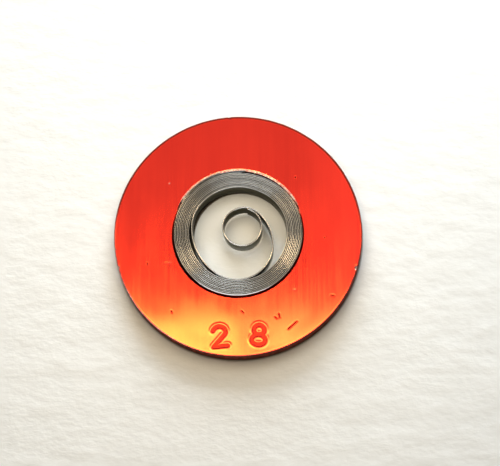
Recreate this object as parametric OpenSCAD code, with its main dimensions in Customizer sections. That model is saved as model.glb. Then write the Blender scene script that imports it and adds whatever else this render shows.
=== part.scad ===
// Watch mainspring, wound flat inside the hole of the washer that it is shipped in.
// The strip is one chain of arcs, each tangent to the next, laid from the outer tip to the inner eye.

/* [Retaining washer] */
// Outer diameter of the washer
washer_d = 18.1; // [14:0.1:24]
// Diameter of the hole, which stands in for the barrel
bore_d = 9.5; // [8:0.1:12]
// Thickness of the washer
washer_t = 1.4; // [0.8:0.05:2.5]
// Radius that breaks the four edges of the washer
edge_r = 0.1; // [0.04:0.01:0.25]

/* [Strip] */
// Height of the strip, along the axis of the coil
strip_h = 1.5; // [0.8:0.05:2.5]
// Thickness of the strip
strip_t = 0.09; // [0.06:0.002:0.13]
// Gap between one turn and the next
turn_gap = 0.026; // [0.01:0.001:0.04]
// Turns that lie close together inside the outermost one
pack_turns = 9; // [4:1:11]
// Gap between the coil and the wall of the hole
seat_clearance = 0.03; // [0.01:0.01:0.1]
// Height of the coil's lower edge above the washer's underside
coil_lift = 0.3; // [0:0.05:0.8]

/* [Outer end] */
// Thickness of the tongue welded outside the last turn
tongue_t = 0.07; // [0.05:0.005:0.1]
// Length of the tongue, back along the coil
tongue_len = 3.6; // [1.5:0.1:5]
// Length of the strip's tip beyond the tongue's bend
tip_len = 1.9; // [1:0.1:2.5]

/* [Loose turn] */
// How much tighter than the coil the loose turn bends where it leaves the others
loose_bend = 0.6; // [0.2:0.05:1.4]

/* [Inner end] */
// Inner diameter of the eye that hooks on the arbor
eye_d = 2.72; // [2:0.02:3.6]
// Offset of the eye from the coil's axis, to the right
eye_x = 0.335; // [0:0.005:0.6]
// Offset of the eye from the coil's axis, to the back
eye_y = 0.385; // [0:0.005:0.6]
// Gap between the strip's inner end and the strand outside it
eye_gap = 0.05; // [0.04:0.01:0.2]
// How far round the eye the strip goes before it ends
eye_sweep = 308; // [240:1:312]

/* [Hidden] */
$fn = 96;

// Rounds a length to a whole micrometre, so that each arc ends exactly where the next begins
function micron(length) = round(length * 1000) / 1000;

// Unit vector at an angle
function unit(angle) = [cos(angle), sin(angle)];

// Two arcs that carry the strip from one radius about the axis to another
function step_arcs(from_r, to_r, sweep) =
    let (share = (from_r - to_r) / (sin(sweep[0]) + sin(sweep[1]) - sin(sweep[0] + sweep[1])))
    [[from_r - share * sin(sweep[1]), sweep[0]], [to_r + share * sin(sweep[0]), sweep[1]]];

// Each turn lies one pitch inside the last
pitch = micron(strip_t + turn_gap);

// Radii of the strip's middle line, along the wall, under the tongue, and where the loose turn begins
wall_r = micron(bore_d / 2 - seat_clearance - strip_t / 2);
under_r = micron(wall_r - tongue_t);
loose_r = under_r - (pack_turns + 1) * pitch;

// How far a turn moves out once it has passed the tongue
step_out = wall_r - under_r;

// Angles of a 3-4-5 triangle, at which the arcs meet on round coordinates
bend = acos(0.8);
rest = 90 - bend;
// Where the strip passes under the end of the tongue
tongue_bend = 180 - 2 * bend;

// Tip: a flatter arc that lets the strip's end spring out to the wall
tip_r = micron(1 / (1 / under_r - 2 * tongue_t / pow(tip_len, 2)));
tip_sweep = tip_len / tip_r * 180 / PI;

// Tongue: it lies on the strip from the bend of the tip onwards
tongue_r = under_r + (strip_t + tongue_t) / 2;
tongue_sweep = tongue_len / tongue_r * 180 / PI;

// Eye: radius of its circle, and of the strand that passes outside the strip's end
eye_r = micron((eye_d + strip_t) / 2);
eye_out_r = eye_r + micron(strip_t + eye_gap);

// Lead-in: a quarter turn and a flatter arc, which together reach the eye
lead_rise = loose_r + step_out + eye_y - eye_x + eye_out_r * (sin(rest) - cos(rest));
lead_flat_r = micron(lead_rise / (1 + sin(rest) - cos(rest)));
lead_r = micron(eye_x + lead_flat_r * (1 - cos(rest)) + eye_out_r * cos(rest));

// Three quarters of a turn, from the tongue out to the wall and in under itself: [radius, sweep] of each arc
function open_turn(turn_r) = concat(
    step_arcs(turn_r, turn_r + step_out, [bend, rest]),
    [[turn_r + step_out, 90]],
    step_arcs(turn_r + step_out, turn_r - pitch, [rest, bend])
);

// The outermost turn, which starts at the tongue's bend
outer_turn = concat([[under_r, bend], [under_r, bend]], open_turn(under_r));

// The close turns, which follow its course
pack_radii = [for (i = [1:pack_turns]) under_r - i * pitch];
pack = [for (turn_r = pack_radii) each concat([[turn_r, 90]], open_turn(turn_r))];

// The loose half turn, which bows away from the others, comes back to them and moves out as they do
bow = micron(loose_bend);
loose_turn = [
    [loose_r, rest],
    [loose_r - bow, bend],
    [loose_r + bow + step_out * cos(rest) / (1 - cos(rest)), rest],
    [loose_r - bow - step_out, bend]
];

// The lead-in, the step inwards from its strand, and the eye
inner_end = concat(
    [[lead_r, 90], [lead_flat_r, rest]],
    step_arcs(eye_out_r, eye_r, [bend, bend]),
    [[eye_r, eye_sweep]]
);

chain = concat(outer_turn, pack, loose_turn, inner_end);

// Angle and centre at which an arc of the chain begins: each centre lies on the joint's own radius
function arc_start(i) = i == 0 ? tongue_bend : arc_start(i - 1) + chain[i - 1][1];
function arc_centre(i) =
    i == 0 ? [0, 0] : arc_centre(i - 1) + (chain[i - 1][0] - chain[i][0]) * unit(arc_start(i));

// A rectangle with its corners rounded
module rounded_rectangle(width, height, radius) {
    translate([radius, 0])
        square([width - 2 * radius, height]);
    translate([0, radius])
        square([width, height - 2 * radius]);
    for (x = [radius, width - radius], y = [radius, height - radius])
        translate([x, y])
            circle(r = radius);
}

// A stretch of strip bent to one radius
module strip_arc(centre, radius, start, sweep, thickness) {
    translate([centre[0], centre[1], coil_lift])
        rotate([0, 0, start])
            rotate_extrude(angle = sweep)
                translate([radius - thickness / 2, 0])
                    square([thickness, strip_h]);
}

module retaining_washer() {
    color([0.88, 0.22, 0.17])
        rotate_extrude()
            translate([bore_d / 2, 0])
                rounded_rectangle((washer_d - bore_d) / 2, washer_t, edge_r);
}

module mainspring() {
    color([0.66, 0.66, 0.63]) {
        strip_arc((under_r - tip_r) * unit(tongue_bend), tip_r, tongue_bend, -tip_sweep, strip_t);
        for (i = [0:len(chain) - 1])
            strip_arc(arc_centre(i), chain[i][0], arc_start(i), chain[i][1], strip_t);
    }
}

module end_tongue() {
    color([0.78, 0.78, 0.75])
        strip_arc([0, 0], tongue_r, tongue_bend, tongue_sweep, tongue_t);
}

retaining_washer();
mainspring();
end_tongue();
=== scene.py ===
"""Looks of a watch mainspring in its retaining washer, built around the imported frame.

Lengths in the classes are millimetres and angles are degrees. MM turns a length into Blender's metres.
"""

import logging
import math
from dataclasses import dataclass, field
from enum import Enum

import bpy
import numpy as np
from mathutils import Matrix, Vector


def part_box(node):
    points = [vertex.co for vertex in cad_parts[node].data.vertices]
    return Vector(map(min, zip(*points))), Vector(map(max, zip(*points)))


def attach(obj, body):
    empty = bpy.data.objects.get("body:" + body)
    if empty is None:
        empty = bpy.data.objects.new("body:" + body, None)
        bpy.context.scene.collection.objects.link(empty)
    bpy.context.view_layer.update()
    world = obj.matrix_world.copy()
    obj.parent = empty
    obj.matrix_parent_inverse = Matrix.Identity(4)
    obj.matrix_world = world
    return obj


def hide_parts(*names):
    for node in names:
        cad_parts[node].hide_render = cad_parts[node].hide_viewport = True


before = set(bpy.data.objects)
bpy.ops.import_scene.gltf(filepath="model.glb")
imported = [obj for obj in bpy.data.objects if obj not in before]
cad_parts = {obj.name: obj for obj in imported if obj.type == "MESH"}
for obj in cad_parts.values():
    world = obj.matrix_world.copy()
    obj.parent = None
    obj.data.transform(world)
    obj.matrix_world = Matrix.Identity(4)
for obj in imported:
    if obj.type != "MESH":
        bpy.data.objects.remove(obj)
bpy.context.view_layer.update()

MM = 0.001
BODY = "root"
NOISE_SPAN = (0.3, 0.7)
LOG = logging.getLogger("watch_mainspring")

Pair = tuple[float, float]
Triple = tuple[float, float, float]
Array = np.ndarray
Faces = list[tuple[int, ...]]
Marks = dict[str, np.ndarray]
Socket = bpy.types.NodeSocket


class Slot(Enum):
    """Material slots of the record."""

    WASHER = "anodised_aluminium"
    STEEL = "spring_steel"


class Lights(Enum):
    """What a light panel reaches."""

    PAPER = "the paper, without a reflection in metal"
    METAL = "metal"
    WASHER = "the washer's metal"


def smooth_step(low: float, high: float, value: Array) -> Array:
    """Eases from 0 at low to 1 at high.

    Args:
        low: Value at which the ease begins.
        high: Value at which it ends; it may lie below low.
        value: Values to ease.

    Returns:
        Values between 0 and 1.
    """
    part = np.clip((value - low) / (high - low), 0.0, 1.0)
    return part * part * (3.0 - 2.0 * part)


def unit(angle: float | Array) -> Array:
    """Unit vector at an angle in degrees, or one row for each angle."""
    return np.stack([np.cos(np.radians(angle)), np.sin(np.radians(angle))], axis=-1)


def apart(angles: Array, middle: float) -> Array:
    """Angles between the given ones and a middle one, from 0 to 180 degrees."""
    return np.abs((angles - middle + 180.0) % 360.0 - 180.0)


def sector(angles: Array, bounds: Triple) -> Array:
    """Tells a sector, as 1, from the rest, as 0.

    Args:
        angles: Angles to look at.
        bounds: The sector's middle, and how far from it the value is 1 and becomes 0.

    Returns:
        One value for each angle.
    """
    middle, full, end = bounds
    return smooth_step(end, full, apart(angles, middle))


def metres(span: Pair) -> Pair:
    """Turns a span in millimetres into one in metres."""
    return span[0] * MM, span[1] * MM


def wander(places: Array, spacing: float, seed: int) -> Array:
    """Makes a smooth random line between 0 and 1.

    Args:
        places: Places along the line, from 0 upwards.
        spacing: Distance between its random knots.
        seed: Seed of the random draw.

    Returns:
        One value for each place.
    """
    count = int(places.max() / spacing) + 3
    knots = np.random.default_rng(seed).random(count)
    index = np.floor(places / spacing).astype(int)
    part = smooth_step(0.0, 1.0, places / spacing - index)
    return knots[index] * (1.0 - part) + knots[index + 1] * part


def make_piece(name: str, points: Array, faces: Faces, marks: Marks) -> bpy.types.Object:
    """Makes a smooth shaded mesh object.

    Args:
        name: Name of the piece.
        points: Vertices in millimetres, one row each.
        faces: Corner indices of each face.
        marks: Named values for each vertex, which the finish reads.

    Returns:
        The new object, linked to the scene.
    """
    mesh = bpy.data.meshes.new(name)
    mesh.from_pydata((points * MM).tolist(), [], faces)
    for label, values in marks.items():
        layer = mesh.attributes.new(label, "FLOAT", "POINT")
        layer.data.foreach_set("value", values.astype(np.float32))
    mesh.polygons.foreach_set("use_smooth", np.ones(len(mesh.polygons), dtype=bool))
    mesh.update()
    piece = bpy.data.objects.new(name, mesh)
    bpy.context.scene.collection.objects.link(piece)
    return piece


def grid_faces(rows: int, columns: int, close_rows: bool) -> Faces:
    """Lists the quads of a grid whose columns close on themselves.

    Args:
        rows: Number of stations.
        columns: Number of vertices in each station.
        close_rows: Whether the last station joins the first.

    Returns:
        Corner indices of each quad.
    """
    faces = []
    for row in range(rows if close_rows else rows - 1):
        here = row * columns
        there = (row + 1) % rows * columns
        for column in range(columns):
            following = (column + 1) % columns
            faces.append((here + column, there + column, there + following, here + following))
    return faces


@dataclass(frozen=True)
class Waves:
    """A noise's waves for each unit in each direction, and its number of finer layers."""

    scale: Triple
    detail: float = 3.0


class NodeSheet:
    """Adds and links the nodes of one tree."""

    def __init__(self, tree: bpy.types.NodeTree) -> None:
        """Takes the tree to add to."""
        self.tree = tree

    def add(self, kind: str) -> bpy.types.Node:
        """Adds a node of Blender's named kind."""
        return self.tree.nodes.new(kind)

    def link(self, source: Socket, target: Socket) -> None:
        """Links two sockets."""
        self.tree.links.new(source, target)

    def mark(self, label: str) -> Socket:
        """Reads one of the mesh's named values.

        Args:
            label: Name of the value.

        Returns:
            Its socket.
        """
        node = self.add("ShaderNodeAttribute")
        node.attribute_name = label
        return node.outputs["Fac"]

    def noise(self, source: Socket, waves: Waves) -> Socket:
        """Makes a noise of its own scale in each direction.

        Args:
            source: Coordinates to read.
            waves: The noise's waves.

        Returns:
            The noise's value socket.
        """
        mapping = self.add("ShaderNodeMapping")
        mapping.inputs["Scale"].default_value = waves.scale
        self.link(source, mapping.inputs["Vector"])
        texture = self.add("ShaderNodeTexNoise")
        texture.inputs["Scale"].default_value = 1.0
        texture.inputs["Detail"].default_value = waves.detail
        self.link(mapping.outputs["Vector"], texture.inputs["Vector"])
        return texture.outputs["Fac"]

    def distance(self, source: Socket, centre: Triple) -> Socket:
        """Measures how far a place lies from a fixed centre.

        Args:
            source: Coordinates to read.
            centre: The centre, in millimetres.

        Returns:
            The distance's socket, in metres.
        """
        node = self.add("ShaderNodeVectorMath")
        node.operation = "DISTANCE"
        self.link(source, node.inputs[0])
        node.inputs[1].default_value = [length * MM for length in centre]
        return node.outputs["Value"]

    def spread(self, source: Socket, span: Pair, result: Pair, ease: str = "LINEAR") -> Socket:
        """Maps a value from one span to another, held at the ends.

        Args:
            source: Value to map.
            span: Span that it comes from.
            result: Span that it goes to.
            ease: Blender's name of the way between the ends.

        Returns:
            The mapped value's socket.
        """
        node = self.add("ShaderNodeMapRange")
        node.interpolation_type = ease
        for label, value in zip(("From Min", "From Max", "To Min", "To Max"), (*span, *result)):
            node.inputs[label].default_value = value
        self.link(source, node.inputs["Value"])
        return node.outputs["Result"]

    def math(self, operation: str, first: Socket, second: Socket) -> Socket:
        """Combines two values.

        Args:
            operation: Blender's name of the operation.
            first: First value.
            second: Second value.

        Returns:
            The result's socket.
        """
        node = self.add("ShaderNodeMath")
        node.operation = operation
        self.link(first, node.inputs[0])
        self.link(second, node.inputs[1])
        return node.outputs[0]

    def blend(self, share: Socket, first: Socket | Triple, second: Triple) -> Socket:
        """Blends two colours.

        Args:
            share: Share of the second colour.
            first: First colour, or the socket that gives it.
            second: Second colour.

        Returns:
            The blended colour's socket.
        """
        node = self.add("ShaderNodeMix")
        node.data_type = "RGBA"
        self.link(share, node.inputs["Factor"])
        colours = [socket for socket in node.inputs if socket.type == "RGBA"]
        if isinstance(first, tuple):
            colours[0].default_value = (*first, 1.0)
        else:
            self.link(first, colours[0])
        colours[1].default_value = (*second, 1.0)
        return next(socket for socket in node.outputs if socket.type == "RGBA")


class ShaderSheet(NodeSheet):
    """Adds and links the nodes of one material."""

    def __init__(self, name: str) -> None:
        """Makes an empty material with its shader.

        Args:
            name: Name of the material.
        """
        self.material = bpy.data.materials.new(name)
        self.material.use_nodes = True
        super().__init__(self.material.node_tree)
        self.shader = self.tree.nodes["Principled BSDF"]

    def feed(self, label: str, source: Socket) -> None:
        """Links a value to the shader's named socket."""
        self.link(source, self.shader.inputs[label])

    def bump(self, height: Socket, depth: float) -> None:
        """Roughens the shader's normal.

        Args:
            height: Height between 0 and 1.
            depth: Height of 1, in millimetres.
        """
        node = self.add("ShaderNodeBump")
        node.inputs["Distance"].default_value = depth * MM
        self.link(height, node.inputs["Height"])
        self.feed("Normal", node.outputs["Normal"])


@dataclass(frozen=True)
class RedAnodising:
    """Dyed oxide on rolled aluminium sheet, worn to bare metal along the edges."""

    dye: Triple = (0.80, 0.046, 0.034)
    deep_dye: Triple = (0.74, 0.039, 0.029)
    bare: Triple = (0.95, 0.86, 0.86)
    # colour of grime in scars and dents, and of painted shade along the back rim and in the figures' grooves
    grime_and_painted_shade: Triple = (0.10, 0.010, 0.006)
    sheared: Triple = (0.14, 0.050, 0.036)
    gloss: Pair = (0.09, 0.14)
    gloss_span: Pair = (0.2, 0.8)
    matt: float = 0.55
    dull_metal: float = 0.05
    grain: Waves = Waves((12000.0, 160.0, 160.0))
    grain_depth: float = 0.0005
    cloud: Waves = Waves((420.0, 190.0, 420.0))
    fleck: Waves = Waves((5200.0, 5200.0, 5200.0), 2.0)
    fleck_span: Pair = (0.35, 0.65)
    fleck_wear: Pair = (0.35, 1.0)
    streak: Waves = Waves((5200.0, 5200.0, 350.0))
    streak_span: Pair = (0.3, 0.6)
    streak_shear: Pair = (0.8, 1.0)

    def material(self) -> bpy.types.Material:
        """Makes the washer's material.

        Returns:
            The material, which reads the marks wear, bare, wall and the one for grime and painted shade of
            its mesh.
        """
        sheet = ShaderSheet("red_anodising")
        place = sheet.add("ShaderNodeTexCoord").outputs["Object"]
        grain = sheet.noise(place, self.grain)
        cloud = sheet.noise(place, self.cloud)
        tone = sheet.math("ADD", *(sheet.spread(noise, NOISE_SPAN, (0.0, 0.5)) for noise in (grain, cloud)))
        colour = sheet.blend(tone, self.deep_dye, self.dye)
        fleck = sheet.spread(sheet.noise(place, self.fleck), self.fleck_span, self.fleck_wear)
        colour = sheet.blend(sheet.math("MULTIPLY", sheet.mark("wear"), fleck), colour, self.bare)
        colour = sheet.blend(sheet.mark("bare"), colour, self.bare)
        streak = sheet.spread(sheet.noise(place, self.streak), self.streak_span, self.streak_shear)
        wall = sheet.math("MULTIPLY", sheet.mark("wall"), streak)
        colour = sheet.blend(wall, colour, self.sheared)
        # grime in scars and dents, and painted shade along the back rim and in the figures' grooves
        dirt_and_painted_shade = sheet.mark("grime_and_painted_shade")
        sheet.feed("Base Color", sheet.blend(dirt_and_painted_shade, colour, self.grime_and_painted_shade))
        dull = sheet.math("MAXIMUM", dirt_and_painted_shade, wall)
        shine = sheet.spread(tone, self.gloss_span, self.gloss)
        sheet.feed("Roughness", sheet.math("ADD", shine, sheet.spread(dull, (0.0, 1.0), (0.0, self.matt))))
        sheet.feed("Metallic", sheet.spread(dull, (0.0, 1.0), (1.0, self.dull_metal)))
        sheet.shader.inputs["Specular IOR Level"].default_value = 0.0
        sheet.bump(grain, self.grain_depth)
        return sheet.material


@dataclass(frozen=True)
class RolledSteel:
    """Polished spring steel strip, with fine lines along its length."""

    name: str = "spring_steel"
    pale: Triple = (0.65, 0.65, 0.65)
    dark: Triple = (0.16, 0.16, 0.16)
    # painted shade on the strip's sides, darkest at the seams between turns
    side: Triple = (0.14, 0.138, 0.126)
    grazing: Triple = (0.35, 0.35, 0.33)
    gloss: Pair = (0.26, 0.16)
    gloss_span: Pair = (0.1, 0.9)
    line: Waves = Waves((0.35, 14.0, 1.0))
    line_depth: float = 0.0008
    stain: Waves = Waves((0.22, 0.5, 1.0), 4.0)
    stain_span: Pair = (0.35, 0.65)
    fine_share: float = 0.15
    turn_share: float = 0.7

    def material(self) -> bpy.types.Material:
        """Makes the strip's material.

        Returns:
            The material, which reads the marks along, across, tone and side of its mesh.
        """
        sheet = ShaderSheet(self.name)
        place = sheet.add("ShaderNodeCombineXYZ")
        sheet.link(sheet.mark("along"), place.inputs["X"])
        sheet.link(sheet.mark("across"), place.inputs["Y"])
        line = sheet.noise(place.outputs["Vector"], self.line)
        stain = sheet.noise(place.outputs["Vector"], self.stain)
        tone = sheet.math("ADD", sheet.spread(line, NOISE_SPAN, (0.0, self.fine_share)),
                          sheet.spread(stain, self.stain_span, (0.0, self.fine_share)))
        # the tone mark carries random tone and painted highlight
        tone = sheet.math("ADD", tone, sheet.spread(sheet.mark("tone"), (0.0, 1.0), (0.0, self.turn_share)))
        edge = sheet.blend(tone, self.dark, self.pale)
        # painted shade on the strip's sides and the seams between turns
        sheet.feed("Base Color", sheet.blend(sheet.mark("side"), edge, self.side))
        sheet.feed("Roughness", sheet.spread(tone, self.gloss_span, self.gloss))
        sheet.shader.inputs["Metallic"].default_value = 1.0
        sheet.shader.inputs["Specular Tint"].default_value = (*self.grazing, 1.0)
        sheet.bump(line, self.line_depth)
        return sheet.material


@dataclass(frozen=True)
class PalePaper:
    """Matt white paper with a slight tooth, with painted shadow under the coil and the washer, painted light
    inside the coil and a painted glow far off.
    """

    light: Triple = (0.89, 0.89, 0.88)
    shade: Triple = (0.86, 0.86, 0.85)
    # painted light: brighter, cooler paper inside the coil
    painted_light_in_coil: Triple = (0.96, 0.99, 1.0)
    # painted shadow: a dark ring on the paper from the coil's inside out to just past the washer's rim
    painted_shadow: Triple = (0.09, 0.075, 0.055)
    coil_centre: Triple = (0.16, 0.0, 0.0)
    coil_inside_edge: Pair = (3.40, 3.48)
    painted_shadow_outer: Pair = (9.06, 9.22)
    far: Pair = (30.0, 120.0)
    far_glow: float = 0.7
    pulp: Waves = Waves((420.0, 700.0, 420.0), 5.0)
    tooth: float = 0.12
    roughness: float = 0.95
    specular: float = 0.1

    def material(self) -> bpy.types.Material:
        """Makes the floor's material.

        Returns:
            The material.
        """
        sheet = ShaderSheet("pale_paper")
        place = sheet.add("ShaderNodeTexCoord").outputs["Object"]
        pulp = sheet.noise(place, self.pulp)
        colour = sheet.blend(sheet.spread(pulp, NOISE_SPAN, (0.0, 1.0)), self.shade, self.light)
        from_coil = sheet.distance(place, self.coil_centre)
        # painted light on the paper inside the coil
        in_coil = sheet.spread(from_coil, metres(self.coil_inside_edge), (1.0, 0.0))
        colour = sheet.blend(in_coil, colour, self.painted_light_in_coil)
        reach = sheet.distance(place, (0.0, 0.0, 0.0))
        # painted shadow under the coil and the washer, fading out just past the washer's rim
        painted_shadow_share = sheet.math("MULTIPLY", sheet.spread(from_coil, metres(self.coil_inside_edge), (0.0, 1.0)),
                            sheet.spread(reach, metres(self.painted_shadow_outer), (1.0, 0.0)))
        colour = sheet.blend(painted_shadow_share, colour, self.painted_shadow)
        sheet.feed("Base Color", colour)
        sheet.feed("Emission Color", colour)
        sheet.feed("Emission Strength", sheet.spread(reach, metres(self.far), (0.0, self.far_glow)))
        sheet.shader.inputs["Roughness"].default_value = self.roughness
        sheet.shader.inputs["Specular IOR Level"].default_value = self.specular
        sheet.bump(pulp, self.tooth)
        return sheet.material


@dataclass(frozen=True)
class Arc:
    """One arc of the strip's middle line."""

    centre: Array
    radius: float
    start: float
    sweep: float


@dataclass(frozen=True)
class StripSizes:
    """Sizes of the strip and of its winding, the same as the solid's."""

    bore_d: float = 9.5
    strip_h: float = 1.5
    strip_t: float = 0.09
    turn_gap: float = 0.026
    pack_turns: int = 9
    seat_clearance: float = 0.03
    coil_lift: float = 0.3
    tongue_t: float = 0.07
    tongue_len: float = 3.6
    tip_len: float = 1.9
    loose_bend: float = 0.6
    eye_d: float = 2.72
    eye_x: float = 0.335
    eye_y: float = 0.385
    eye_gap: float = 0.05
    eye_sweep: float = 308.0

    @property
    def bend(self) -> float:
        """Smaller angle of a 3-4-5 triangle."""
        return math.degrees(math.acos(0.8))

    @property
    def rest(self) -> float:
        """Larger angle of a 3-4-5 triangle."""
        return 90.0 - self.bend

    @property
    def tongue_bend(self) -> float:
        """Angle at which the strip passes under the end of the tongue."""
        return 180.0 - 2.0 * self.bend

    @property
    def pitch(self) -> float:
        """Distance from one turn to the next."""
        return self.strip_t + self.turn_gap

    @property
    def under_r(self) -> float:
        """Radius of the middle line under the tongue, which lies between it and the wall."""
        return self.bore_d / 2.0 - self.seat_clearance - self.strip_t / 2.0 - self.tongue_t

    @staticmethod
    def step_arcs(from_r: float, to_r: float, sweeps: Pair) -> list[Pair]:
        """Finds two arcs that carry the strip from one radius to another about one axis.

        Args:
            from_r: Radius before the step.
            to_r: Radius after it.
            sweeps: Angles of the two arcs.

        Returns:
            Radius and sweep of each arc.
        """
        first, second = (math.radians(sweep) for sweep in sweeps)
        share = (from_r - to_r) / (math.sin(first) + math.sin(second) - math.sin(first + second))
        return [(from_r - share * math.sin(second), sweeps[0]), (to_r + share * math.sin(first), sweeps[1])]

    def open_turn(self, turn_r: float) -> list[Pair]:
        """Lists the arcs from the tongue out to the wall and in under the same turn.

        Args:
            turn_r: Radius of the turn under the tongue.

        Returns:
            Radius and sweep of each arc.
        """
        out_r = turn_r + self.tongue_t
        return [
            *self.step_arcs(turn_r, out_r, (self.bend, self.rest)),
            (out_r, 90.0),
            *self.step_arcs(out_r, turn_r - self.pitch, (self.rest, self.bend)),
        ]

    def inner_end(self, loose_r: float) -> list[Pair]:
        """Lists the arcs of the loose half turn, the lead-in and the eye.

        Args:
            loose_r: Radius at which the loose turn begins.

        Returns:
            Radius and sweep of each arc.
        """
        sine, cosine = math.sin(math.radians(self.rest)), math.cos(math.radians(self.rest))
        out, bow = self.tongue_t, self.loose_bend
        eye_r = (self.eye_d + self.strip_t) / 2.0
        eye_out_r = eye_r + self.strip_t + self.eye_gap
        lead_rise = loose_r + out + self.eye_y - self.eye_x + eye_out_r * (sine - cosine)
        lead_flat_r = lead_rise / (1.0 + sine - cosine)
        lead_r = self.eye_x + lead_flat_r * (1.0 - cosine) + eye_out_r * cosine
        return [
            (loose_r, self.rest),
            (loose_r - bow, self.bend),
            (loose_r + bow + out * cosine / (1.0 - cosine), self.rest),
            (loose_r - bow - out, self.bend),
            (lead_r, 90.0),
            (lead_flat_r, self.rest),
            *self.step_arcs(eye_out_r, eye_r, (self.bend, self.bend)),
            (eye_r, self.eye_sweep),
        ]

    def bends(self) -> list[Pair]:
        """Lists the arcs from the tongue's bend to the eye's end.

        Returns:
            Radius and sweep of each arc.
        """
        course = [(self.under_r, self.bend), (self.under_r, self.bend), *self.open_turn(self.under_r)]
        for turn in range(1, self.pack_turns + 1):
            turn_r = self.under_r - turn * self.pitch
            course += [(turn_r, 90.0), *self.open_turn(turn_r)]
        return course + self.inner_end(self.under_r - (self.pack_turns + 1) * self.pitch)

    def arcs(self) -> list[Arc]:
        """Places the strip's arcs, each tangent to the next.

        Returns:
            The arcs from the outer tip to the eye's end.
        """
        tip_r = 1.0 / (1.0 / self.under_r - 2.0 * self.tongue_t / self.tip_len**2)
        tip_sweep = math.degrees(self.tip_len / tip_r)
        angle = self.tongue_bend
        centre = np.zeros(2)
        radius = self.under_r
        placed = [Arc((radius - tip_r) * unit(angle), tip_r, angle - tip_sweep, tip_sweep)]
        for following, sweep in self.bends():
            centre = centre + (radius - following) * unit(angle)
            radius = following
            placed.append(Arc(centre, radius, angle, sweep))
            angle += sweep
        return placed

    def tongue_arc(self) -> Arc:
        """Places the tongue's arc outside the strip.

        Returns:
            The arc of the tongue's middle line.
        """
        radius = self.under_r + (self.strip_t + self.tongue_t) / 2.0
        return Arc(np.zeros(2), radius, self.tongue_bend, math.degrees(self.tongue_len / radius))


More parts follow.
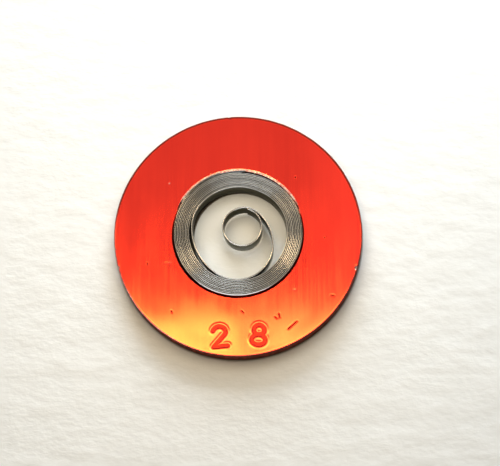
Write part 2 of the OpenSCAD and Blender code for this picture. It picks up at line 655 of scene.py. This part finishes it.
@dataclass(frozen=True)
class SteelStrip:
    """A strip with rounded edges, swept along arcs."""

    arcs: list[Arc]
    thickness: float
    low: float
    high: float
    edge_radii: Pair
    first_edge_radii: Pair
    station: float = 0.11
    fewest_stations: int = 4
    uneven: float = 0.03
    stray: float = 0.004
    lean: float = 0.06
    turn_spacing: float = 0.43
    mean_tone: float = 0.56
    tone_swing: float = 0.4
    # painted highlight leaning towards one side of the coil, with painted shade on the other
    highlight_lean: float = 0.24
    painted_highlight_side: float = 330.0
    first_end: Pair = (1.05, 0.95)
    # painted highlight on the front of the outermost turn, painted shade on its back
    first_turn_highlight_ease: float = 0.3
    # widths of the painted shade along the strip's sides, in the pack and in the loose turn
    seam: Pair = (0.025, 0.002)  # in the pack, in the loose turn
    loose_from: Pair = (9.9, 10.1)
    # painted highlight on the loose turn's edge
    loose_painted_highlight: float = 1.0
    seed: int = 3

    def stations(self) -> tuple[Array, Array, Array]:
        """Samples the middle line.

        Returns:
            Points, directions across the strip, and winding in degrees.
        """
        points, normals, winding = [], [], []
        for number, arc in enumerate(self.arcs):
            count = max(self.fewest_stations, int(math.radians(arc.sweep) * arc.radius / self.station))
            angles = arc.start + arc.sweep * np.linspace(0.0, 1.0, count + 1)
            angles = angles if number == len(self.arcs) - 1 else angles[:-1]
            points.append(arc.centre + arc.radius * unit(angles))
            normals.append(unit(angles))
            winding.append(angles)
        return np.concatenate(points), np.concatenate(normals), np.concatenate(winding)

    def section(self, edge_radii: Pair, corner_steps: int = 4) -> tuple[Array, Array, Array]:
        """Draws the strip's section.

        Args:
            edge_radii: Roundings of its inner and outer edges.
            corner_steps: Vertices in each rounded corner.

        Returns:
            Offsets across the strip, offsets from its nearer edge, and whether that is the upper edge.
        """
        across, inset, upper = [], [], []
        inner_r, outer_r = edge_radii
        for corner, (side, is_upper) in enumerate(((1, True), (-1, True), (-1, False), (1, False))):
            radius = outer_r if side > 0 else inner_r
            for angle in np.radians(90.0 * corner + 90.0 * np.arange(corner_steps) / (corner_steps - 1)):
                across.append(side * (self.thickness / 2.0 - radius) + radius * math.cos(angle))
                inset.append(radius * (1.0 - abs(math.sin(angle))))
                upper.append(is_upper)
        return np.array(across), np.array(inset), np.array(upper)

    def turn_tones_and_highlights(self, turns: Array, winding: Array) -> Array:
        """Finds how bright each stretch of the strip's edge is: a random tone, with painted highlight towards
        one side of the coil, on the loose turn and on the front of the outermost turn.

        Args:
            turns: Turns wound at each station.
            winding: Angle of each station.

        Returns:
            Tones between 0 and 1.
        """
        chance = wander(turns, self.turn_spacing, self.seed + 4)
        tones = self.mean_tone + self.tone_swing * (chance - 0.5)
        # painted highlight towards one side of the coil
        tones += self.highlight_lean * np.cos(np.radians(winding - self.painted_highlight_side))
        # painted highlight on the loose turn and the eye
        tones += self.is_loose(turns) * (self.loose_painted_highlight - tones)
        # painted highlight on the front of the outermost turn, painted shade on its back
        front_highlight = smooth_step(self.first_turn_highlight_ease, -self.first_turn_highlight_ease, np.sin(np.radians(winding)))
        return np.where(turns < 1.0, front_highlight, tones)

    def is_loose(self, turns: Array) -> Array:
        """Tells the loose turn and the eye, as 1, from the pack, as 0."""
        return smooth_step(*self.loose_from, turns)

    def side_painted_shade(self, turns: Array, across: Array, upper: Array) -> Array:
        """Finds the painted shade on the strip's sides, darkest at the seams between turns; the loose turn's
        outer side is left unshaded towards its foot.

        Args:
            turns: Turns wound at each station.
            across: Offsets across the strip, one row for each station.
            upper: Which points of the section lie at the upper edge.

        Returns:
            Painted shade between 0 and 1, of the same shape as across.
        """
        loose = self.is_loose(turns)[:, None]
        width = self.seam[0] + (self.seam[1] - self.seam[0]) * loose
        painted_shade = smooth_step(width, 0.0, self.thickness / 2.0 - np.abs(across))
        return painted_shade * (1.0 - loose * (across > 0.0) * ~upper[None, :])

    def build(self, name: str) -> bpy.types.Object:
        """Sweeps the strip.

        Args:
            name: Name of the piece.

        Returns:
            The mesh object, with the marks along, across, tone and side.
        """
        path, normals, winding = self.stations()
        turns = (winding - winding[0]) / 360.0
        drop = self.uneven * wander(turns, self.turn_spacing, self.seed)
        rise = self.uneven * wander(turns, self.turn_spacing, self.seed + 1)
        sway = self.stray * (2.0 * wander(turns, self.turn_spacing / 3.0, self.seed + 2) - 1.0)
        slope = self.lean * (2.0 * wander(turns, self.turn_spacing, self.seed + 3) - 1.0)
        across, inset, upper = self.section(self.edge_radii)
        first_across, first_inset, _ = self.section(self.first_edge_radii)
        first = smooth_step(*self.first_end, turns)[:, None]
        across = across + first * (first_across - across)
        inset = inset + first * (first_inset - inset)
        flat = path[:, None, :] + (across + sway[:, None])[..., None] * normals[:, None, :]
        tilt = slope[:, None] * across - np.abs(slope[:, None]) * self.thickness / 2.0
        top = self.high - drop[:, None] - inset + tilt
        bottom = self.low + rise[:, None] + inset - tilt
        height = np.where(upper[None, :], top, bottom)
        points = np.concatenate([flat, height[..., None]], axis=-1)
        rows, columns = height.shape
        faces = grid_faces(rows, columns, close_rows=False)
        faces.append(tuple(range(columns)))
        faces.append(tuple(reversed(range((rows - 1) * columns, rows * columns))))
        run = np.concatenate([[0.0], np.cumsum(np.linalg.norm(np.diff(path, axis=0), axis=1))])
        marks = {
            "along": np.repeat(run, columns),
            "across": (height + across).ravel(),
            "tone": np.repeat(self.turn_tones_and_highlights(turns, winding), columns),
            "side": self.side_painted_shade(turns, across, upper).ravel(),
        }
        return make_piece(name, points.reshape(-1, 3), faces, marks)


@dataclass
class Mainspring:
    """The wound strip and the tongue at its outer end."""

    sizes: StripSizes = field(default_factory=StripSizes)
    steel: RolledSteel = field(default_factory=RolledSteel)
    tongue_steel: RolledSteel = field(
        default_factory=lambda: RolledSteel("tongue_steel", pale=(0.70, 0.70, 0.70), dark=(0.45, 0.45, 0.45))
    )
    edge_radii: Pair = (0.04, 0.017)  # inner, outer
    first_edge_radii: Pair = (0.02, 0.068)
    tongue_edge_radii: Pair = (0.022, 0.022)
    tongue_station: float = 0.05

    def build(self) -> list[bpy.types.Object]:
        """Builds and dresses the strip and the tongue.

        Returns:
            Both objects, the strip first.
        """
        sizes = self.sizes
        heights = (sizes.coil_lift, sizes.coil_lift + sizes.strip_h)
        strip = SteelStrip(sizes.arcs(), sizes.strip_t, *heights, self.edge_radii, self.first_edge_radii)
        tongue = SteelStrip([sizes.tongue_arc()], sizes.tongue_t, *heights, self.tongue_edge_radii,
                            self.tongue_edge_radii, station=self.tongue_station, stray=0.0)
        return [
            self.dress(strip.build("mainspring_strip"), self.steel, "mainspring"),
            self.dress(tongue.build("mainspring_tongue"), self.tongue_steel, "end_tongue"),
        ]

    def dress(self, piece: bpy.types.Object, finish: RolledSteel, node: str) -> bpy.types.Object:
        """Gives a piece its finish and its place in the frame.

        Args:
            piece: Object to dress.
            finish: Its finish.
            node: Node that it stands for.

        Returns:
            The same object.
        """
        piece.data.materials.append(finish.material())
        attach(piece, BODY)
        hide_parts(node)
        return piece


@dataclass(frozen=True)
class Scar:
    """A straight mark in the washer's face."""

    start: Pair
    end: Pair
    half_width: float = 0.06
    depth: float = 0.004
    grime_and_painted_shade: float = 1.0
    bare: float = 0.0


@dataclass(frozen=True)
class RimDent:
    """A small dent in the washer's upper rim."""

    angle: float
    radius: float
    depth: float
    grime_and_painted_shade: float = 0.0
    bare: float = 0.0


@dataclass(frozen=True)
class Numeral:
    """A figure struck into the washer's face with a hand stamp."""

    figure: str
    centre: Pair
    lean: float

    def strokes(self) -> list[Array]:
        """Draws the figure's strokes.

        Returns:
            Points of each stroke on the washer's face.
        """
        drawn = {
            "2": [[*self.bow((0.0, 0.34), (0.46, 0.38), 165.0, -50.0), (-0.48, -0.72), (0.52, -0.72)]],
            "8": [
                self.bow((0.0, 0.37), (0.38, 0.35), 90.0, 450.0),
                self.bow((0.0, -0.35), (0.49, 0.37), 90.0, 450.0),
            ],
        }
        along, up = unit(self.lean), unit(self.lean + 90.0)
        return [np.array(self.centre) + np.array(line) @ np.stack([along, up]) for line in drawn[self.figure]]

    @staticmethod
    def bow(centre: Pair, reach: Pair, start: float, end: float, count: int = 25) -> list[Pair]:
        """Draws an elliptical stroke.

        Args:
            centre: Centre of the ellipse.
            reach: Its half width and half height.
            start: Angle of its first point.
            end: Angle of its last point.
            count: Number of points.

        Returns:
            The stroke's points.
        """
        angles = np.linspace(start, end, count)
        return [tuple(point) for point in np.array(centre) + unit(angles) * np.array(reach)]


def distance_to_line(places: Array, line: Array) -> Array:
    """Measures how far places lie from a polyline.

    Args:
        places: Places in the plane, one row each.
        line: Points of the polyline.

    Returns:
        The distance of each place.
    """
    nearest = np.full(len(places), np.inf)
    for start, end in zip(line[:-1], line[1:]):
        run = end - start
        part = np.clip((places - start) @ run / (run @ run), 0.0, 1.0)
        gap = np.linalg.norm(places - start - part[:, None] * run, axis=1)
        nearest = np.minimum(nearest, gap)
    return nearest


@dataclass(frozen=True)
class Section:
    """Points of the washer's section, and how rounded and how sheared each is."""

    radii: Array
    heights: Array
    rounded: Array
    sheared: Array


@dataclass
class RetainingWasher:
    """The punched washer that holds the coil."""

    outer_r: float = 9.05
    bore_r: float = 4.75
    thickness: float = 1.4
    edge_r: float = 0.1
    shear_run: Pair = (0.1, 0.5)
    rolled_edge: float = 0.18
    crisp_edge: float = 0.07
    crisp_ease: float = 0.6
    bevel_foot: float = 0.02
    bevel_drop: float = 0.045
    bevel_shares: tuple[float, ...] = (0.06, *np.linspace(0.1, 0.9, 4), 0.96)
    face_pair: float = 0.1 / 12.0
    face_step: float = 0.05
    wall_rows: int = 6
    under_rows: int = 8
    coarse_step: float = 0.6
    fine_step: float = 0.22
    fine_sector: Pair = (246.0, 294.0)  # where the figures are
    finish: RedAnodising = field(default_factory=RedAnodising)
    groove_half: Pair = (0.05, 0.165)
    groove_depth: float = 0.022
    lip: Triple = (0.22, 0.06, 0.008)  # distance from the stroke, width, height
    dish: Pair = (1.15, 0.006)  # radius, depth
    figure_reach: float = 2.0
    figure_ease: float = 0.3
    # grime and painted shade that darken the figures' grooves
    stamp_grime_and_painted_shade: float = 0.55
    numerals: tuple[Numeral, ...] = (
        Numeral("2", (-1.30, -7.59), 5.0),
        Numeral("8", (1.50, -7.50), -4.0),
    )
    scars: tuple[Scar, ...] = (
        Scar((4.24, 4.15), (4.27, 4.26)),
        Scar((-6.56, -2.16), (-6.54, -2.23)),
        Scar((-4.76, -5.72), (-4.73, -5.82)),
        Scar((6.28, -0.37), (6.33, -0.41)),
        Scar((0.27, -5.73), (0.42, -5.88)),
        Scar((6.68, -4.68), (6.92, -4.71)),
        Scar((2.94, -5.96), (3.00, -6.27)),
        Scar((2.65, -6.20), (2.80, -6.32)),
        Scar((3.60, -7.09), (4.21, -6.55)),
        Scar((-5.05, 3.84), (-5.03, 3.91), 0.04, 0.008, grime_and_painted_shade=0.0, bare=0.35),
        Scar((4.00, -4.24), (4.16, -4.21), 0.035, 0.002, grime_and_painted_shade=0.0, bare=0.08),
        Scar((-5.30, -2.16), (-5.02, -2.12), 0.035, 0.003, grime_and_painted_shade=0.6),
        Scar((-5.05, -2.17), (-4.75, -2.13), 0.03, 0.002, grime_and_painted_shade=0.0, bare=0.08),
    )
    scar_ease: Pair = (1.6, 0.4)  # shares of the half width
    dents: tuple[RimDent, ...] = (
        RimDent(94.0, 0.16, 0.05, grime_and_painted_shade=0.9),
        RimDent(-17.4, 0.20, 0.05, bare=0.9),
        RimDent(48.4, 0.12, 0.03, grime_and_painted_shade=0.7),
        RimDent(51.5, 0.10, 0.03, grime_and_painted_shade=0.6),
        RimDent(196.0, 0.14, 0.03, bare=0.8),
        RimDent(187.0, 0.10, 0.03, bare=0.7),
    )
    dent_core: float = 0.2
    sheet_wave: float = 0.0025
    wave_ease: float = 1.2
    broad_waves: tuple[Pair, Pair] = ((0.9, 0.7), (0.6, 0.3))  # rate and phase across, and along
    slant_wave: Triple = (0.6, 1.7, -0.4)  # share, rate across, rate along
    hole_wear: float = 0.95
    worn_hole: Triple = (88.0, 56.0, 74.0)  # sector
    worn_depth: Pair = (0.5, 0.3)
    rim_wear: Pair = (0.10, 0.75)  # least, most
    rubbed_rim: Pair = (212.0, 30.0)  # middle, width
    # painted shade: a dark line along the back of the rim's upper edge
    painted_shade_rim: Triple = (90.0, 70.0, 105.0)  # sector
    rim_painted_shade: float = 0.9
    painted_shade_width: float = 0.16

    @property
    def rolled_r(self) -> float:
        """Radius at which the hole's flattened edge meets the upper face."""
        return self.bore_r + self.rolled_edge

    def profile(self) -> Section:
        """Draws the washer's section, from the hole's upper edge outwards and round.

        Returns:
            The section.
        """
        rolled = self.rolled_r
        inner, outer = self.bore_r + self.edge_r, self.outer_r - self.edge_r
        low, high = self.edge_r, self.thickness - self.edge_r
        foot = np.array([self.bore_r + self.bevel_foot, self.thickness - self.bevel_drop])
        run = np.array([rolled, self.thickness]) - foot
        face = np.linspace(rolled, outer, int((outer - rolled) / self.face_step) + 1)
        face = np.insert(face, 1, rolled + self.face_pair)
        wall = np.linspace(high, low, self.wall_rows)
        under = np.linspace(outer, inner, self.under_rows)
        rows = [(radius, self.thickness, 0.0, 0.0) for radius in face]
        rows += self.corner((outer, high), 90.0, (0.0, 1.0))
        rows += [(self.outer_r, height, 0.0, 1.0) for height in wall]
        rows += self.corner((outer, low), 0.0, (1.0, 0.0))
        rows += [(radius, 0.0, 0.0, 0.0) for radius in under]
        rows += self.corner((inner, low), 270.0, (0.0, 1.0))
        rows += [(self.bore_r, height, 0.0, 1.0) for height in wall[::-1]]
        rows += [(*(foot + share * run), 1.0, 0.0) for share in self.bevel_shares]
        return Section(*np.array(rows).T)

    def corner(self, centre: Pair, start: float, shear: Pair, steps: int = 6) -> list[tuple[float, ...]]:
        """Draws one rounded edge of the section.

        Args:
            centre: Centre of the rounding.
            start: Angle at which it begins; it turns clockwise.
            shear: How sheared it is at its beginning and at its end.
            steps: Number of points.

        Returns:
            Radius, height, roundedness and shear of each point.
        """
        shares = np.arange(1, steps + 1) / (steps + 1)
        spots = np.array(centre) + unit(start - 90.0 * shares) * self.edge_r
        sheared = shear[0] + (shear[1] - shear[0]) * smooth_step(*self.shear_run, shares)
        return [(*spot, 1.0, amount) for spot, amount in zip(spots, sheared)]

    def build(self) -> bpy.types.Object:
        """Builds and dresses the washer.

        Returns:
            The washer's object.
        """
        section = self.profile()
        start, end = self.fine_sector
        fine, coarse = np.arange(start, end, self.fine_step), np.arange(end, start + 360.0, self.coarse_step)
        angles = np.concatenate([fine, coarse])
        flat = unit(angles)[:, None, :] * self.hole_edge(angles, section)[..., None]
        height = np.repeat(section.heights[None, :], len(angles), axis=0)
        points = np.concatenate([flat, height[..., None]], axis=-1).reshape(-1, 3)
        on_face = np.tile((section.rounded == 0.0) & (section.heights == self.thickness), len(angles))
        marks = self.wear_marks(angles, section)
        self.mark_face(points, on_face, marks)
        self.dent_rim(points, marks)
        faces = grid_faces(len(angles), len(section.radii), close_rows=True)
        piece = make_piece("retaining_washer_sheet", points, faces, marks)
        piece.data.materials.append(self.finish.material())
        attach(piece, BODY)
        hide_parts("retaining_washer")
        return piece

    def wear_marks(self, angles: Array, section: Section) -> Marks:
        """Finds where the rim is rubbed, the painted shade along the back of its upper edge, where the coil
        rubbed the hole, and the sheared walls.

        Args:
            angles: Angles of the mesh's columns.
            section: The washer's section.

        Returns:
            Named values for each vertex, column by column, with no bare metal yet.
        """
        radii, heights = section.radii, section.heights
        middle, width = self.rubbed_rim
        low, high = self.rim_wear
        rim = low + (high - low) * np.exp(-((apart(angles, middle) / width) ** 2))
        rim_rub = np.outer(rim, section.rounded * (radii > (self.bore_r + self.outer_r) / 2.0))
        depth = smooth_step(*self.worn_depth, self.thickness - heights)
        hole_rub = np.outer(self.hole_wear * sector(angles, self.worn_hole), depth * (radii < self.rolled_r))
        # painted shade along the back of the rim's upper edge
        on_rim = (radii > self.outer_r - self.painted_shade_width) & (heights > self.thickness - self.edge_r)
        grime_and_painted_shade = np.outer(self.rim_painted_shade * sector(angles, self.painted_shade_rim), on_rim)
        return {
            "wear": np.maximum(rim_rub, hole_rub).ravel(),
            "grime_and_painted_shade": grime_and_painted_shade.ravel(),
            "bare": np.zeros(grime_and_painted_shade.size),
            "wall": (section.sheared * (1.0 - hole_rub / self.hole_wear) * (1.0 - rim_rub)).ravel(),
        }

    def hole_edge(self, angles: Array, section: Section) -> Array:
        """Narrows the hole's flattened edge where the coil hasn't rubbed it.

        Args:
            angles: Angles of the mesh's columns.
            section: The washer's section.

        Returns:
            Radius of each column and point.
        """
        radii, rolled = section.radii, self.rolled_r
        on_bevel = (radii - self.bore_r) / self.rolled_edge
        share = np.where(radii < rolled, on_bevel, smooth_step(rolled + self.crisp_ease, rolled, radii))
        share = share * (section.heights > self.thickness - 2.0 * self.bevel_drop)
        narrower = (self.rolled_edge - self.crisp_edge) * (1.0 - sector(angles, self.worn_hole))
        return radii[None, :] - narrower[:, None] * share[None, :]

    def struck(self, places: Array) -> tuple[Array, Array]:
        """Finds how the stamped figures shape the face.

        Args:
            places: Places on the face.

        Returns:
            Rise of the face at each place, and how far the place lies in a groove.
        """
        rise, grooves = np.zeros(len(places)), np.zeros(len(places))
        lip_at, lip_width, lip_height = self.lip
        dish_r, dish_depth = self.dish
        for numeral in self.numerals:
            away = np.linalg.norm(places - np.array(numeral.centre), axis=1)
            rise -= dish_depth * np.exp(-((away / dish_r) ** 2))
            near = away < self.figure_reach
            gap = np.full(near.sum(), np.inf)
            for line in numeral.strokes():
                gap = np.minimum(gap, distance_to_line(places[near], line))
            groove = smooth_step(self.groove_half[1], self.groove_half[0], gap)
            rise[near] += lip_height * np.exp(-(((gap - lip_at) / lip_width) ** 2))
            rise[near] -= self.groove_depth * groove
            grooves[near] = np.maximum(grooves[near], groove)
        return rise, grooves

    def mark_face(self, points: Array, on_face: Array, marks: Marks) -> None:
        """Presses the figures, the scars and the sheet's slight waves into the upper face.

        Args:
            points: Vertices, changed in place.
            on_face: Which of them lie on the upper face.
            marks: Named values for each vertex, changed in place.
        """
        places = points[on_face, :2]
        across, along = places.T
        radius = np.hypot(across, along)
        from_edge = np.minimum(self.outer_r - self.edge_r - radius, radius - self.rolled_r)
        (across_rate, across_phase), (along_rate, along_phase) = self.broad_waves
        share, slant_across, slant_along = self.slant_wave
        wave = np.sin(across_rate * across + across_phase) * np.sin(along_rate * along + along_phase)
        wave += share * np.sin(slant_across * across + slant_along * along)
        rise, grooves = self.struck(places)
        height = points[on_face, 2] + smooth_step(0.0, self.figure_ease, from_edge) * rise
        height += smooth_step(0.0, self.wave_ease, from_edge) * self.sheet_wave * wave
        # grime and painted shade in the figures' grooves
        grime_and_painted_shade = np.maximum(marks["grime_and_painted_shade"][on_face], self.stamp_grime_and_painted_shade * grooves)
        bare = marks["bare"][on_face]
        for scar in self.scars:
            gap = distance_to_line(places, np.array([scar.start, scar.end]))
            hit = smooth_step(*(scar.half_width * part for part in self.scar_ease), gap)
            height -= scar.depth * hit
            grime_and_painted_shade = np.maximum(grime_and_painted_shade, scar.grime_and_painted_shade * hit)
            bare = np.maximum(bare, scar.bare * hit)
        points[on_face, 2] = height
        marks["grime_and_painted_shade"][on_face] = grime_and_painted_shade
        marks["bare"][on_face] = bare

    def dent_rim(self, points: Array, marks: Marks) -> None:
        """Presses the small dents into the upper rim.

        Args:
            points: Vertices, changed in place.
            marks: Named values for each vertex, changed in place.
        """
        for dent in self.dents:
            out = np.array([*unit(dent.angle), 1.0])
            spot = np.array([*(unit(dent.angle) * (self.outer_r - self.edge_r / 2.0)), self.thickness])
            away = np.linalg.norm(points - spot, axis=1)
            hit = smooth_step(dent.radius, self.dent_core * dent.radius, away)
            points -= dent.depth * hit[:, None] * out
            marks["grime_and_painted_shade"] = np.maximum(marks["grime_and_painted_shade"], dent.grime_and_painted_shade * hit)
            marks["bare"] = np.maximum(marks["bare"], dent.bare * hit)


@dataclass(frozen=True)
class Panel:
    """A soft rectangular light, aimed at the part, or straight down if it is for the washer."""

    name: str
    lights: Lights
    place: Triple
    size: Pair
    radiance: float
    colour: Triple

    def build(self) -> bpy.types.Object:
        """Hangs the panel.

        Returns:
            The light's object.
        """
        light = bpy.data.lights.new(self.name, "AREA")
        light.shape = "RECTANGLE"
        light.size, light.size_y = metres(self.size)
        light.energy = self.radiance * math.pi * light.size * light.size_y
        light.color = self.colour
        lamp = bpy.data.objects.new(self.name, light)
        lamp.location = Vector(self.place) * MM
        aim = (*self.place[:2], 0.0) if self.lights is Lights.WASHER else (0.0, 0.0, 0.0)
        gaze = Vector(aim) - Vector(self.place)
        lamp.rotation_mode = "QUATERNION"
        lamp.rotation_quaternion = gaze.to_track_quat("-Z", "Y")
        lamp.visible_diffuse = self.lights is Lights.PAPER
        lamp.visible_glossy = self.lights is not Lights.PAPER
        lamp.visible_camera = False
        bpy.context.scene.collection.objects.link(lamp)
        return lamp


@dataclass
class Studio:
    """The pale floor and the soft light around the object."""

    floor_half: float = 300.0
    paper: PalePaper = field(default_factory=PalePaper)
    sky_low: Triple = (0.19, 0.155, 0.115)
    sky_high: Triple = (0.92, 0.80, 0.62)
    sky_band: Pair = (0.76, 0.94)
    panels: tuple[Panel, ...] = (
        Panel("cool_window", Lights.PAPER, (0.0, 140.0, 56.0), (125.0, 78.0), 12.2, (0.82, 0.92, 1.0)),
        Panel("right_window", Lights.PAPER, (20.0, 24.0, 37.0), (24.0, 24.0), 2.6, (0.80, 0.92, 1.0)),
        Panel("soft_box", Lights.PAPER, (-4.0, 5.5, 50.0), (50.0, 50.0), 2.75, (1.0, 0.835, 0.60)),
        Panel("right_glint", Lights.METAL, (58.5, 67.3, 80.3), (31.0, 42.0), 12.2, (1.0, 0.76, 0.46)),
        Panel("left_glint", Lights.METAL, (-70.4, 59.1, 77.1), (36.0, 42.0), 12.2, (1.0, 0.74, 0.43)),
        Panel("front_window", Lights.METAL, (-15.0, -105.0, 80.0), (190.0, 60.0), 4.0, (0.90, 0.97, 1.0)),
        Panel("back_window", Lights.METAL, (20.0, 123.0, 85.0), (90.0, 45.0), 6.0, (0.90, 0.97, 1.0)),
        Panel("left_lamp", Lights.WASHER, (-27.0, 9.0, 200.0), (38.0, 48.0), 25.0, (1.0, 0.83, 0.17)),
        Panel("right_lamp", Lights.WASHER, (15.0, 9.0, 200.0), (38.0, 46.0), 20.0, (1.0, 0.84, 0.21)),
        Panel("right_sky", Lights.WASHER, (32.0, 56.0, 200.0), (40.0, 56.0), 0.3, (1.0, 0.92, 0.72)),
    )

    def build(self, washer: bpy.types.Object) -> None:
        """Lays the floor, hangs the lights and sets the surrounding light.

        Args:
            washer: The washer, which alone is lit by the lamps overhead.
        """
        half = self.floor_half
        corners = np.array([(-half, -half, 0.0), (half, -half, 0.0), (half, half, 0.0), (-half, half, 0.0)])
        floor = make_piece("paper_floor", corners, [(0, 1, 2, 3)], {})
        floor.data.materials.append(self.paper.material())
        lit = bpy.data.collections.new("lit_by_lamps")
        lit.objects.link(washer)
        for panel in self.panels:
            lamp = panel.build()
            if panel.lights is Lights.WASHER:
                lamp.light_linking.receiver_collection = lit
        self.surround()

    def surround(self) -> None:
        """Makes the surrounding light, brighter overhead than at the sides."""
        world = bpy.data.worlds.new("soft_room")
        bpy.context.scene.world = world
        world.use_nodes = True
        world.cycles_visibility.diffuse = False
        sheet = NodeSheet(world.node_tree)
        split = sheet.add("ShaderNodeSeparateXYZ")
        sheet.link(sheet.add("ShaderNodeTexCoord").outputs["Generated"], split.inputs["Vector"])
        overhead = sheet.spread(split.outputs["Z"], self.sky_band, (0.0, 1.0), "SMOOTHSTEP")
        sky = sheet.blend(overhead, self.sky_low, self.sky_high)
        sheet.link(sky, sheet.tree.nodes["Background"].inputs["Color"])


@dataclass(frozen=True)
class PhotoCamera:
    """The camera at the photograph's viewing angle."""

    distance: float = 90.0
    tilt: float = 15.48
    turn: float = 8.88
    focal_px: float = 1236.4
    image_px: tuple[int, int] = (500, 466)
    washer_px: Pair = (237.74, 233.30)
    sensor: float = 36.0
    clip: Pair = (1.0, 2000.0)

    def build(self, target: Vector) -> None:
        """Places the camera so that the target falls on its own pixel.

        Args:
            target: Centre of the washer's upper face, in metres.
        """
        data = bpy.data.cameras.new("photo_camera")
        data.sensor_width = self.sensor
        data.lens = self.focal_px / self.image_px[0] * self.sensor
        data.clip_start, data.clip_end = metres(self.clip)
        tilt, turn = math.radians(self.tilt), math.radians(self.turn)
        back = Vector((math.sin(tilt) * math.sin(turn), -math.sin(tilt) * math.cos(turn), math.cos(tilt)))
        right = (-back).cross(Vector((0.0, 1.0, 0.0))).normalized()
        up = back.cross(right)
        facing = Matrix((right, up, back)).transposed()
        aside = [(pixel - size / 2.0) / self.focal_px for pixel, size in zip(self.washer_px, self.image_px)]
        ray = Vector((aside[0], -aside[1], -1.0))
        swing = Vector((0.0, 0.0, -1.0)).rotation_difference(ray).to_matrix()
        camera = bpy.data.objects.new("photo_camera", data)
        camera.matrix_world = Matrix.Translation(target + back * self.distance * MM) @ (
            facing @ swing.transposed()
        ).to_4x4()
        bpy.context.scene.collection.objects.link(camera)
        bpy.context.scene.camera = camera


def main() -> None:
    logging.basicConfig(level=logging.INFO, format="%(message)s")
    bpy.context.scene.view_settings.view_transform = "Standard"
    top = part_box("retaining_washer")[1].z
    PhotoCamera().build(Vector((0.0, 0.0, top)))
    washer = RetainingWasher().build()
    for piece in (washer, *Mainspring().build()):
        LOG.info("%s: %d faces", piece.name, len(piece.data.polygons))
    Studio().build(washer)
    bpy.context.view_layer.update()


if __name__ == "__main__":
    main()
